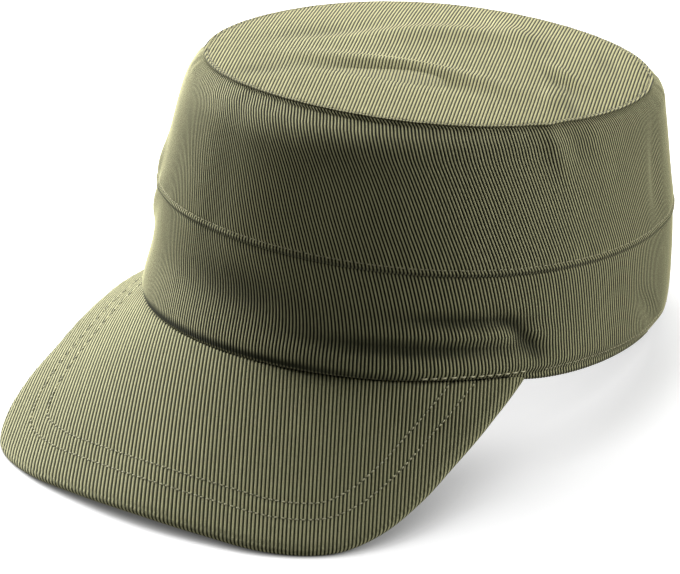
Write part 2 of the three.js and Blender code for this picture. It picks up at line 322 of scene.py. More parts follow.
def band_point(angle, up):
    """The band's outer face. up is the share of the way from its hem to the seam."""
    foot, head = band_foot(angle), band_head(angle)
    height = foot + up * (head - foot)
    point = wall_point(angle, height)
    facing = wall_oval(angle, height)[1]
    sewn = -0.3 * hump(height, hem_stitch_height(angle), 0.7) * (0.7 + 0.3 * ripple(angle, 47, 1.0))
    sewn = sewn * (beyond_peak(angle) > 0)
    pulled = -0.25 * hump(head - height, 0.0, 0.9)
    return point + facing * (sewn + pulled)[..., None]


def side_foot(angle):
    return seam_height(angle) + SEAM_GAP / 2 + CROWN_CLOTH / 2


def side_head(angle):
    """The side ends just behind the rolled rim of the top."""
    return rim_height(angle) + SIDE_PAST_RIM


def side_point(angle, up):
    """The side's outer face, lapped over the band at its foot."""
    foot, head = side_foot(angle), side_head(angle)
    height = foot + up * (head - foot)
    over = height - foot
    point = wall_point(angle, height)
    facing = wall_oval(angle, height)[1]
    lap = SEAM_LAP * (1 - up) ** 4
    welt = 0.25 * hump(over, 0.0, 1.0) - 0.3 * hump(over, SEAM_STITCH, 0.6)
    pulled = 0.12 * ripple(angle, 31, 0.4) * hump(over, 2.5, 3.0)
    crimp = 0.18 * ripple(angle, 42, 2.2) * hump(head - height, 3.0, 2.6)
    crimp = crimp + 0.6 * hump(head - height, 1.6, 1.3) - 0.3 * hump(head - height, 0.0, 0.3)
    return point + facing * (lap + welt + pulled + crimp)[..., None]


# How far the rows of a piece's mesh lie from a sewn edge, close together by the edge, and their steps beyond.
EDGE_STEPS = np.array([0.0, 0.25, 0.5, 0.8, 1.1, 1.4, 1.7, 2.1, 2.6, 3.3, 4.2])
WALL_ROW_STEP = 1.9
TOP_ROW_STEP = 4.2
PEAK_ROW_STEP = 2.2

# Columns of the mesh to a rib, and beyond the last whole rib at each side of a panel.
RIB_SAMPLES = 4
SIDE_COLUMNS = 25
RIBBED_SHARE = 0.965

# Steps round a turned edge, and rows of the plain inner faces.
EDGE_BENDS = 6
PEAK_EDGE_BENDS = 8
WALL_INNER_ROWS = 7
TOP_INNER_ROWS = 14


def spaced(length, near_start, near_end, step):
    """Shares of a length, close together near its ends and a step apart between."""
    start, end = near_start, length - near_end[::-1]
    middle = np.linspace(start[-1], end[0], max(2, int(round((end[0] - start[-1]) / step)) + 1))
    return np.concatenate([start, middle[1:-1], end]) / length


def surface_normal(surface, first, second):
    """The way a surface faces, from its two directions taken in turn."""
    step = 1e-4
    along = surface(first + step, second) - surface(first - step, second)
    across = surface(first, second + step) - surface(first, second - step)
    return unit(np.cross(along, across))


def rib_profile(ribs):
    """Height of the ribs at a count of ribs: round ridges with narrow grooves between."""
    wave = np.cos(2 * math.pi * ribs)
    return 0.5 * wave + 0.25 * (1 - (1 - wave) ** 2 / 2)


def half_turn(steps):
    """The angles between the steps of half a turn, without its two ends."""
    return np.linspace(0, math.pi, steps + 1)[1:-1]


# The length round the plain oval at mid height, so that the ribs are evenly spaced round the crown.
ROUND_ANGLES = np.linspace(-2 * math.pi, 4 * math.pi, 6 * 720 + 1)
round_points = wall_oval(ROUND_ANGLES, np.full(ROUND_ANGLES.shape, 0.5 * CROWN_HEIGHT))[0]
round_lengths = np.concatenate([[0], np.cumsum(np.linalg.norm(np.diff(round_points, axis=0), axis=-1))])
round_lengths -= np.interp(0, ROUND_ANGLES, round_lengths)
ROUND = np.interp(2 * math.pi, ROUND_ANGLES, round_lengths)


def angle_at(length):
    return np.interp(length, round_lengths, ROUND_ANGLES)


def lean_on_ribs(columns, heights, start):
    """Angles of the mesh's points, on columns that follow the ribs down and to the right."""
    shear = math.tan(math.radians(WALL_RIB_LEAN))
    lengths = start + columns * ROUND / columns[-1] + shear * (0.5 * CROWN_HEIGHT - heights)
    share = 0.5 - 0.5 * np.cos(angle_at(lengths) - math.radians(LEAST_PULL_ANGLE))
    pulled = RIM_PULL * share * np.clip(2.2 * heights / CROWN_HEIGHT - 1.2, 0, 1) ** 4
    return angle_at(lengths - pulled)


def peak_crease_shadow(angle, over_hem):
    """Painted shadow in the crease over the peak: most of all at its left, and none beyond its corners."""
    turned = np.degrees(np.arctan2(np.sin(angle), np.cos(angle)))
    in_shade = np.clip((55 - turned) / 40, 0.2, 1)
    by_hem = np.clip(1.5 - over_hem / 1.7, 0, 1)
    return 1.25 * in_shade * by_hem * (beyond_peak(angle) < 0)


def wall_sheet(surface, foot_height, head_height, cloth, start, over_peak):
    """A ring of ribbed cloth: outer face from head to foot, rolled foot, inner face, and back to the head.

    A ring over the peak is sewn along both edges, with a painted shadow in the crease where it meets the
    peak.
    """
    ribs = int(round(ROUND * math.cos(math.radians(WALL_RIB_LEAN)) / WALL_RIB))
    columns = np.arange(ribs * RIB_SAMPLES + 1)[None, :] * 1.0
    length = head_height - foot_height
    up = spaced(length, EDGE_STEPS, EDGE_STEPS, WALL_ROW_STEP)[::-1][:, None]
    heights = foot_height + up * length
    angles = lean_on_ribs(columns[0], heights, start)
    raised = RIB_HEIGHT * rib_profile(columns / RIB_SAMPLES)[..., None]
    normal = surface_normal(surface, angles, up + 0 * angles)
    outer_plain = surface(angles, up + 0 * angles)
    outer = outer_plain + normal * raised
    middle = outer_plain[-1] - normal[-1] * cloth / 2
    down = unit(np.cross(normal[-1], unit(np.gradient(outer_plain[-1], axis=0))))
    down *= -np.sign(down[:, 2:])
    bends = half_turn(EDGE_BENDS)[:, None, None]
    reach = np.cos(bends) * normal[-1] + np.sin(bends) * down
    foot_roll = middle + reach * (cloth / 2 + raised * np.cos(bends / 2))
    foot_along = foot_height - np.broadcast_to(bends[:, :, 0] * cloth / 2, reach.shape[:2])
    inner_up = np.linspace(0, 1, WALL_INNER_ROWS)[:, None]
    inner_heights = foot_height + inner_up * length
    inner_angles = lean_on_ribs(columns[0], inner_heights, start)
    inner_up = inner_up + 0 * inner_angles
    inner = surface(inner_angles, inner_up) - surface_normal(surface, inner_angles, inner_up) * cloth
    outer_along = heights + 0 * angles
    inner_along = inner_heights + 0 * inner_angles
    points = np.concatenate([outer, foot_roll, inner, outer[:1]])
    along = np.concatenate([outer_along, foot_along, inner_along, outer_along[:1]])
    across = np.broadcast_to(columns / RIB_SAMPLES * WALL_RIB, along.shape)
    edge = along - foot_height
    # Painted shade in the folds of the wall, kept for each point.
    shade = wall_fold_shade(angles, heights)
    if over_peak:
        edge = np.minimum(edge, head_height - along)
        # Painted shadow in the crease over the peak, joined with the painted shade of the folds.
        shade = np.maximum(shade, peak_crease_shadow(angles, heights - foot_height))
    painted_shade = np.zeros(along.shape)
    painted_shade[:len(up)] = shade
    return points, across, along / math.cos(math.radians(WALL_RIB_LEAN)), edge, painted_shade


def top_ridges(x, y):
    rise = np.full(x.shape, TOP_RISE)
    for right, back, along, across, turn, ridge in TOP_RIDGES:
        rise += ridge * RIDGE_HEIGHT * fold_share(
            x - right * HEAD_HALF_WIDTH,
            y - back * HEAD_FRONT,
            turn,
            along * HEAD_HALF_WIDTH,
            across * HEAD_FRONT,
        )
    return rise


def rim_point(angle):
    return wall_point(angle, rim_height(angle))[..., :2]


RIM_ANGLES = np.linspace(0, 2 * math.pi, 1441)
RIM = rim_point(RIM_ANGLES)
RIM_WAY = np.unwrap(np.arctan2(RIM[:, 0], -RIM[:, 1]))
RIM_REACH = np.linalg.norm(RIM, axis=-1)


def rim_share(x, y):
    """A place's share of the way out to the rim, the length left to it, and the rim's angle there."""
    way = np.arctan2(x, -y) % (2 * math.pi)
    rim = np.interp(way, RIM_WAY, RIM_REACH, period=2 * math.pi)
    out = np.hypot(x, y)
    angle = np.interp(way, RIM_WAY, RIM_ANGLES)
    return out / rim, rim - out, angle


def top_surface(x, y):
    share, left, angle = rim_share(x, y)
    share = np.clip(share, 0, 1)
    sewn = 0.12 * hump(left, 0.6, 1.0) - 0.3 * hump(left, TOP_STITCH, 0.6)
    pulled = 0.16 * ripple(angle, 39, 0.9) * hump(left, 3.2, 2.5)
    lowered = (CROWN_HEIGHT - rim_height(angle)) * share**2
    level = CROWN_HEIGHT - lowered + SEAM_GAP / 2 + TOP_CLOTH
    height = level + top_ridges(x, y) * (1 - share**2) + sewn + pulled
    return np.stack([x, y, height], -1)


def chain_at(chain, across_way, wanted):
    """Points along a line of points where it is so far across, one for each wanted distance."""
    far = chain @ across_way
    order = np.argsort(far)
    return np.stack([np.interp(wanted, far[order], chain[order, axis]) for axis in range(chain.shape[1])], -1)


def chord_places(widest, rib):
    """Distances across a panel where its columns lie: on the ribs, and closer together near its two sides."""
    ribs = int(widest * RIBBED_SHARE / rib)
    inner = np.arange(-ribs * RIB_SAMPLES, ribs * RIB_SAMPLES + 1) * rib / RIB_SAMPLES
    outer = widest * np.cos(np.linspace(math.acos(inner[-1] / widest), 0, SIDE_COLUMNS + 1))[1:]
    return np.concatenate([-outer[::-1], inner, outer])


def top_chords(across_way, along_way):
    """The top's chords: how far across each lies, and both its ends, each with the way out over the rim."""
    normals = unit(np.stack([-np.gradient(RIM[:, 1]), np.gradient(RIM[:, 0])], -1))
    normals *= np.sign((normals * RIM).sum(-1, keepdims=True))
    inset = RIM - normals * TOP_ROLL
    far = inset @ across_way
    low, high = int(np.argmin(far)), int(np.argmax(far))
    turned = np.roll(np.concatenate([inset, normals], -1)[:-1], -low, axis=0)
    high = (high - low) % (len(RIM) - 1)
    first, second = turned[: high + 1], np.concatenate([turned[high:], turned[:1]])
    if (first[:, :2] @ along_way).mean() > (second[:, :2] @ along_way).mean():
        first, second = second, first
    middle = (far.max() + far.min()) / 2
    places = chord_places((far.max() - far.min()) / 2, TOP_RIB) + middle
    widened = np.concatenate([across_way, [0, 0]])
    return places, chain_at(first, widened, places), chain_at(second, widened, places)


def top_sheet():
    """The top: chords along the ribs from rim to rim, rolled round the rim and back below."""
    lean = math.radians(TOP_RIB_LEAN)
    across_way = np.array([math.cos(lean), math.sin(lean)])
    along_way = np.array([math.sin(lean), -math.cos(lean)])
    places, start, end = top_chords(across_way, along_way)
    steps = spaced(2 * HEAD_HALF_WIDTH, EDGE_STEPS, EDGE_STEPS, TOP_ROW_STEP)[:, None, None]
    flat = start[None, :, :2] * (1 - steps) + end[None, :, :2] * steps
    upper = top_surface(flat[..., 0], flat[..., 1])
    step = 0.05
    normal = unit(np.cross(
        top_surface(flat[..., 0] + step, flat[..., 1]) - upper,
        top_surface(flat[..., 0], flat[..., 1] + step) - upper,
    ))
    raised = RIB_HEIGHT * rib_profile(places / TOP_RIB)[None, :, None]
    raised = raised * np.clip(rim_share(flat[..., 0], flat[..., 1])[1] / TOP_RIB_FADE, 0, 1)[..., None]
    upper = upper + normal * raised
    bends = half_turn(EDGE_BENDS)[:, None, None]

    def roll(ends, row):
        out = np.concatenate([ends[:, 2:], np.zeros((len(ends), 1))], -1)
        centre = upper[row] - np.array([0, 0, TOP_ROLL])
        return centre + TOP_ROLL * (np.cos(bends) * np.array([0, 0, 1.0]) + np.sin(bends) * out)

    lower_steps = np.linspace(0, 1, TOP_INNER_ROWS)[:, None, None]
    lower_flat = end[None, :, :2] * (1 - lower_steps) + start[None, :, :2] * lower_steps
    lower = top_surface(lower_flat[..., 0], lower_flat[..., 1]) - np.array([0, 0, 2 * TOP_ROLL])
    points = np.concatenate([upper, roll(end, -1), lower, roll(start, 0)[::-1], upper[:1]])
    across = np.broadcast_to(places, points.shape[:2]).copy()
    arc = bends[..., 0] * TOP_ROLL
    rolled = len(bends)
    across[len(upper):len(upper) + rolled] += arc * (end[:, 2:] @ across_way)
    across[-1 - rolled:-1] += arc[::-1] * (start[:, 2:] @ across_way)
    along = points[..., 0] * along_way[0] + points[..., 1] * along_way[1]
    edge = rim_share(points[..., 0], points[..., 1])[1]
    # Painted shade in the top's hollows, fainter than in the wall's folds.
    depth = TOP_RISE - top_ridges(points[..., 0], points[..., 1])
    painted_shade = np.clip(depth / TOP_HOLLOW_DEPTH, 0, 1) * TOP_HOLLOW_SHARE
    return points, across, along, edge, painted_shade


def spread_at(u):
    return PEAK_SECTIONS[0, 0] * (1 - u) + PEAK_SECTIONS[-1, 0] * u


def peak_at(u, out):
    """The peak's upper face. u runs from its left corner to its right one, and out down its slope."""
    spread = spread_at(u)
    angle = math.radians(PEAK_SPREAD) * spread
    point, facing = wall_oval(angle, np.zeros_like(angle))
    slope = np.radians(PEAK_SLOPE * read_table(PEAK_SECTIONS, SLOPE, spread))
    down = np.maximum(out, 0)
    point = point + facing * (np.where(out > 0, out * np.cos(slope), out))[..., None]
    point[..., 2] -= down * np.sin(slope) + SEAM_GAP
    return point


def peak_reach(u):
    return np.maximum(0, PEAK_REACH * read_table(PEAK_SECTIONS, REACH, spread_at(u)))


# The peak laid flat: places along its hem, and the middle of the front among them.
FLAT_U = np.linspace(0, 1, 1201)
FLAT_MIDDLE = -PEAK_SECTIONS[0, 0] / (PEAK_SECTIONS[-1, 0] - PEAK_SECTIONS[0, 0])
HALVINGS = 34


def lay_peak_flat():
    """Where the hem line runs on the flat cloth, and how far it has turned."""
    hem = peak_at(FLAT_U, np.zeros_like(FLAT_U))[:, :2]
    slope = np.radians(PEAK_SLOPE * read_table(PEAK_SECTIONS, SLOPE, spread_at(FLAT_U)))
    runs = np.diff(hem, axis=0)
    lengths = np.linalg.norm(runs, axis=-1)
    turns = np.diff(np.unwrap(np.arctan2(runs[:, 1], runs[:, 0]))) * np.cos(slope[1:-1])
    turned = np.concatenate([[0], np.cumsum(turns)])
    middles = (FLAT_U[1:] + FLAT_U[:-1]) / 2
    turned -= np.interp(FLAT_MIDDLE, middles, turned)
    steps = np.stack([np.cos(turned), np.sin(turned)], -1) * lengths[:, None]
    line = np.concatenate([[[0, 0]], np.cumsum(steps, axis=0)])
    line -= np.array([np.interp(FLAT_MIDDLE, FLAT_U, line[:, axis]) for axis in (0, 1)])
    return line, np.interp(FLAT_U, middles, turned)


FLAT_LINE, FLAT_TURN = lay_peak_flat()


def flat_at(u, out):
    """A place of the peak on the flat cloth."""
    turn = np.interp(u, FLAT_U, FLAT_TURN)
    line = np.stack([np.interp(u, FLAT_U, FLAT_LINE[:, axis]) for axis in (0, 1)], -1)
    return line + np.stack([np.sin(turn), -np.cos(turn)], -1) * np.asarray(out)[..., None]


def unfold(flat):
    """Where places on the flat cloth lie on the peak, found by halving the stretch of hem they hang from."""
    low, high = np.zeros(flat.shape[:-1]), np.ones(flat.shape[:-1])
    for _ in range(HALVINGS):
        u = (low + high) / 2
        line = flat_at(u, np.zeros_like(u))
        turn = np.interp(u, FLAT_U, FLAT_TURN)
        beyond = (flat[..., 0] - line[..., 0]) * np.cos(turn) + (flat[..., 1] - line[..., 1]) * np.sin(turn)
        low = np.where(beyond > 0, u, low)
        high = np.where(beyond > 0, high, u)
    u = (low + high) / 2
    line = flat_at(u, np.zeros_like(u))
    turn = np.interp(u, FLAT_U, FLAT_TURN)
    out = (flat[..., 0] - line[..., 0]) * np.sin(turn) - (flat[..., 1] - line[..., 1]) * np.cos(turn)
    return u, out


def peak_normal(u, out):
    step = 1e-3
    around = peak_at(u + step, out) - peak_at(u - step, out)
    down = peak_at(u, np.maximum(out, 0.1) + 0.1) - peak_at(u, np.maximum(out, 0.1))
    return unit(np.cross(down, around))


def peak_edge_way(u):
    """The way out over the peak's edge, level with its face."""
    step = 1e-3
    low, high = np.maximum(u - step, 0), np.minimum(u + step, 1)
    run = peak_at(high, peak_reach(high)) - peak_at(low, peak_reach(low))
    return unit(np.cross(unit(run), peak_normal(u, peak_reach(u))))


# The peak's outline on the flat cloth.
PEAK_OUTLINE = flat_at(FLAT_U, peak_reach(FLAT_U))


def distance_to_edge(flat):
    """How far places on the flat cloth lie from the peak's outline, worked out a few thousand at a time."""
    places = flat.reshape(-1, 2)
    outline = PEAK_OUTLINE[::6]
    batches = np.array_split(places, max(1, len(places) // 4096))
    nearest = [np.sqrt(((batch[:, None] - outline[None]) ** 2).sum(-1)).min(1) for batch in batches]
    return np.concatenate(nearest).reshape(flat.shape[:-1])


def peak_face(flat, u, out):
    """Sewn grooves and the pressed-down rim of the peak's faces, as a height over the plain face."""
    left = distance_to_edge(flat)
    lift = -0.2 * sum(hump(left, row, 0.8) for row in PEAK_STITCHES)
    lift -= 0.35 * hump(left, 0.0, 1.2)
    return lift, left


def peak_chords(across_way):
    """The peak's chords: the middle one's place across, how far across each lies, and both ends of each."""
    hem = flat_at(FLAT_U, np.full(FLAT_U.shape, -PEAK_TUCK))
    far = PEAK_OUTLINE @ across_way
    leftmost, rightmost = int(np.argmin(far)), int(np.argmax(far))
    middle, half = (far.max() + far.min()) / 2, (far.max() - far.min()) / 2
    places = chord_places(half, PEAK_RIB) + middle
    left_edge, right_edge = PEAK_OUTLINE[:leftmost + 1][::-1], PEAK_OUTLINE[rightmost:][::-1]
    starts = chain_at(np.concatenate([left_edge, hem, right_edge]), across_way, places)
    ends = chain_at(PEAK_OUTLINE[leftmost:rightmost + 1], across_way, places)
    return middle, places, starts, ends


def peak_sheet():
    """The peak: chords along the ribs, from its hem to its front edge, rolled round that and back below."""
    lean = math.radians(PEAK_RIB_LEAN)
    across_way = np.array([math.cos(lean), math.sin(lean)])
    middle, places, starts, ends = peak_chords(across_way)
    left_corner = flat_at(np.array([0.0]), np.array([0.0]))[0] @ across_way
    right_corner = flat_at(np.array([1.0]), np.array([0.0]))[0] @ across_way
    steps = spaced(LONGEST_CHORD, EDGE_STEPS, EDGE_STEPS, PEAK_ROW_STEP)[:, None, None]
    flat = starts[None] * (1 - steps) + ends[None] * steps
    u, out = unfold(flat)
    lift, left = peak_face(flat, u, out)
    normal = peak_normal(u, out)
    thickness = PEAK_THICKNESS * read_table(PEAK_SECTIONS, THICKNESS, spread_at(u))
    raised = RIB_HEIGHT * rib_profile((places - middle) / PEAK_RIB)[None, :]
    raised = raised * np.clip(left / PEAK_RIB_FADE, 0, 1)
    plain = peak_at(u, out)
    upper = plain + normal * (lift + raised)[..., None]
    bends = half_turn(PEAK_EDGE_BENDS)[:, None, None]

    def roll(row, size):
        way = peak_edge_way(u[row]) * size[:, None]
        half_thick = (thickness[row] / 2)[:, None]
        centre = plain[row] - normal[row] * half_thick
        lifted = (half_thick + (lift[row] + raised[row])[:, None] * np.cos(bends / 2))
        return centre + np.cos(bends) * normal[row] * lifted + np.sin(bends) * way * half_thick * 1.05

    full = np.ones(len(places))
    tip = np.clip((left_corner - places) / CORNER_TAPER, 0, 1)
    tip = tip + np.clip((places - right_corner) / CORNER_TAPER, 0, 1)
    lower_rows = np.arange(len(steps))[::-3]
    lower_rows = np.unique(np.concatenate([lower_rows, [0, len(steps) - 1]]))[::-1]
    lower = (plain - normal * thickness[..., None])[lower_rows]
    points = np.concatenate([upper, roll(-1, full), lower, roll(0, tip)[::-1], upper[:1]])
    flat_along = flat @ np.array([math.sin(lean), -math.cos(lean)])
    end_along = np.broadcast_to(flat_along[-1], (len(bends), len(places)))
    start_along = np.broadcast_to(flat_along[0], (len(bends), len(places)))
    along = np.concatenate([
        flat_along,
        end_along + bends[..., 0] * PEAK_THICKNESS / 2,
        flat_along[lower_rows] + UNDERSIDE_SHIFT,
        start_along,
        flat_along[:1],
    ])
    left = np.concatenate([left, 0 * end_along, left[lower_rows], 0 * start_along, left[:1]])
    across = np.broadcast_to(places - middle, along.shape).copy()
    edge_run = unit(np.gradient(PEAK_OUTLINE, axis=0))
    edge_out = np.stack([edge_run[:, 1], -edge_run[:, 0]], -1) @ across_way
    arc = bends[..., 0] * PEAK_THICKNESS / 2
    rolled = len(bends)
    across[len(upper):len(upper) + rolled] += arc * np.interp(u[-1], FLAT_U, edge_out)
    across[-1 - rolled:-1] += arc[::-1] * np.interp(u[0], FLAT_U, edge_out) * (out[0] > 0)
    return points, across, along, left, np.zeros(along.shape)


def lowest(points, lean):
    """The lowest place of a sheet when the cap leans back by an angle."""
    return (points[..., 2] * math.cos(lean) - points[..., 1] * math.sin(lean)).min()


def lay_grid(name, sheet):
    """A grid primitive shaped into a sheet of cloth, its two long edges joined, with its faces outward."""
    points, across, along, edge, painted_shade = sheet
    rows, columns = points.shape[0] - 1, points.shape[1] - 1
    bpy.ops.mesh.primitive_grid_add(x_subdivisions=columns, y_subdivisions=rows, size=2)
    cloth = bpy.context.object
    cloth.name = cloth.data.name = name
    mesh = cloth.data
    place = np.empty(3 * len(mesh.vertices))
    mesh.vertices.foreach_get("co", place)
    place = place.reshape(-1, 3)
    column = np.rint((place[:, 0] + 1) / 2 * columns).astype(int)
    row = np.rint((place[:, 1] + 1) / 2 * rows).astype(int)
    mesh.vertices.foreach_set("co", (rest_on_table(points)[row, column] * MM).ravel())
    corner = np.empty(len(mesh.loops), dtype=int)
    mesh.loops.foreach_get("vertex_index", corner)
    on_cloth = np.stack([across[row, column], along[row, column]], -1) * MM
    mesh.uv_layers[0].name = "Cloth"
    mesh.uv_layers[0].data.foreach_set("uv", on_cloth[corner].ravel())
    for label, values in (("edge_distance", edge * MM), ("painted_shade", painted_shade)):
        marked = mesh.attributes.new(label, "FLOAT", "POINT")
        marked.data.foreach_set("value", values[row, column].ravel())
    bpy.ops.object.mode_set(mode="EDIT")
    bpy.ops.mesh.select_all(action="SELECT")
    bpy.ops.mesh.remove_doubles(threshold=2e-6)
    bpy.ops.mesh.dissolve_degenerate(threshold=1e-7)
    bpy.ops.mesh.normals_make_consistent(inside=False)
    bpy.ops.object.mode_set(mode="OBJECT")
    bpy.ops.object.shade_smooth()
    cloth.select_set(False)
    return cloth


# The sheets in the cap's own frame
band_sheet = wall_sheet(band_point, BAND_CLOTH / 2, SEAM_HEIGHT, BAND_CLOTH, 0.0, True)
side_sheet = wall_sheet(side_point, SEAM_HEIGHT, CROWN_HEIGHT, CROWN_CLOTH, 0.37, False)
crown_top = top_sheet()
peak_cover = peak_sheet()


def resting_lean():
    """The lean at which the back of the hem and the front of the peak both touch the table."""
    low, high = 0.0, math.pi / 4
    for _ in range(HALVINGS):
        lean = (low + high) / 2
        if lowest(band_sheet[0], lean) > lowest(peak_cover[0], lean):
            low = lean
        else:
            high = lean
    return low


REST_LEAN = resting_lean()
TABLE_HEIGHT = lowest(band_sheet[0], REST_LEAN) + TABLE_PRESS


def lean_back(points):
    cos, sin = math.cos(REST_LEAN), math.sin(REST_LEAN)
    x, y, z = points[..., 0], points[..., 1], points[..., 2]
    return np.stack([x, y * cos + z * sin, z * cos - y * sin - TABLE_HEIGHT], -1)


# The cap's frame is carried to where its band lies in the solid model.
band_low, band_high = (np.array(corner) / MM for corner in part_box("band"))
band_leaned = lean_back(band_sheet[0]).reshape(-1, 3)
MIDDLE = (band_low + band_high)[:2] / 2 - (band_leaned.min(0) + band_leaned.max(0))[:2] / 2


def rest_on_table(points):
    rested = lean_back(points)
    rested[..., :2] += MIDDLE
    rested[..., 2] = np.maximum(rested[..., 2], 0)
    return rested


# Camera, at the photograph's angle above the floor.
VIEW_AZIMUTH = 35.488
VIEW_ELEVATION = 25.982
VIEW_ROLL = -0.724
VIEW_DISTANCE = 2299.1
VIEW_LENS = 350.2
VIEW_SENSOR = 36
VIEW_SHIFT = (-0.0181, -0.0343)
AIM = np.array([0, -31.77, 25.93])


def add_camera():
    azimuth, elevation, roll = (math.radians(a) for a in (VIEW_AZIMUTH, VIEW_ELEVATION, VIEW_ROLL))
    back = Vector((
        math.sin(azimuth) * math.cos(elevation),
        -math.cos(azimuth) * math.cos(elevation),
        math.sin(elevation),
    ))
    right = Vector((math.cos(azimuth), math.sin(azimuth), 0))
    up = back.cross(right)
    turned_right = right * math.cos(roll) + up * math.sin(roll)
    turned_up = up * math.cos(roll) - right * math.sin(roll)
    aim = Vector(AIM + np.array([MIDDLE[0], MIDDLE[1], -TABLE_HEIGHT])) * MM
    bpy.ops.object.camera_add(location=aim + back * VIEW_DISTANCE * MM)
    camera = bpy.context.object
    camera.name = "camera"
    turn = Matrix((turned_right, turned_up, back)).transposed()
    camera.rotation_euler = turn.to_euler()
    camera.data.lens = VIEW_LENS
    camera.data.sensor_width = VIEW_SENSOR
    camera.data.shift_x, camera.data.shift_y = VIEW_SHIFT
    camera.data.clip_start = 0.1
    camera.data.clip_end = 20
    camera.select_set(False)
    bpy.context.scene.camera = camera


add_camera()


# Materials


def add_math(tree, operation, first, second=None, third=None):
    node = tree.nodes.new("ShaderNodeMath")
    node.operation = operation
    for socket, value in zip(node.inputs, (first, second, third)):
        if value is None:
            continue
        if isinstance(value, (int, float)):
            socket.default_value = value
        else:
            tree.links.new(value, socket)
    return node.outputs[0]


def add_noise(tree, place, scale, detail, roughness):
    noise = tree.nodes.new("ShaderNodeTexNoise")
    noise.inputs["Scale"].default_value = scale
    noise.inputs["Detail"].default_value = detail
    noise.inputs["Roughness"].default_value = roughness
    tree.links.new(place, noise.inputs["Vector"])
    return noise.outputs["Fac"]


def add_place(tree, x, y, z=0.0):
    place = tree.nodes.new("ShaderNodeCombineXYZ")
    for socket, value in zip(place.inputs, (x, y, z)):
        if isinstance(value, (int, float)):
            socket.default_value = value
        else:
            tree.links.new(value, socket)
    return place.outputs[0]


def add_mix(tree, share, first, second):
    mix = tree.nodes.new("ShaderNodeMix")
    mix.data_type = "RGBA"
    tree.links.new(share, mix.inputs["Factor"])
    for name, value in (("A", first), ("B", second)):
        socket = [s for s in mix.inputs if s.name == name and s.type == "RGBA"][0]
        if isinstance(value, tuple):
            socket.default_value = (*value, 1)
        else:
            tree.links.new(value, socket)
    return [s for s in mix.outputs if s.type == "RGBA"][0]


def ramp(tree, value, low, high):
    """0 below low and 1 above high, with a smooth slope between."""
    node = tree.nodes.new("ShaderNodeMapRange")
    node.interpolation_type = "SMOOTHSTEP"
    for name, number in (("From Min", low), ("From Max", high), ("To Min", 0), ("To Max", 1)):
        node.inputs[name].default_value = number
    tree.links.new(value, node.inputs["Value"])
    return node.outputs["Result"]


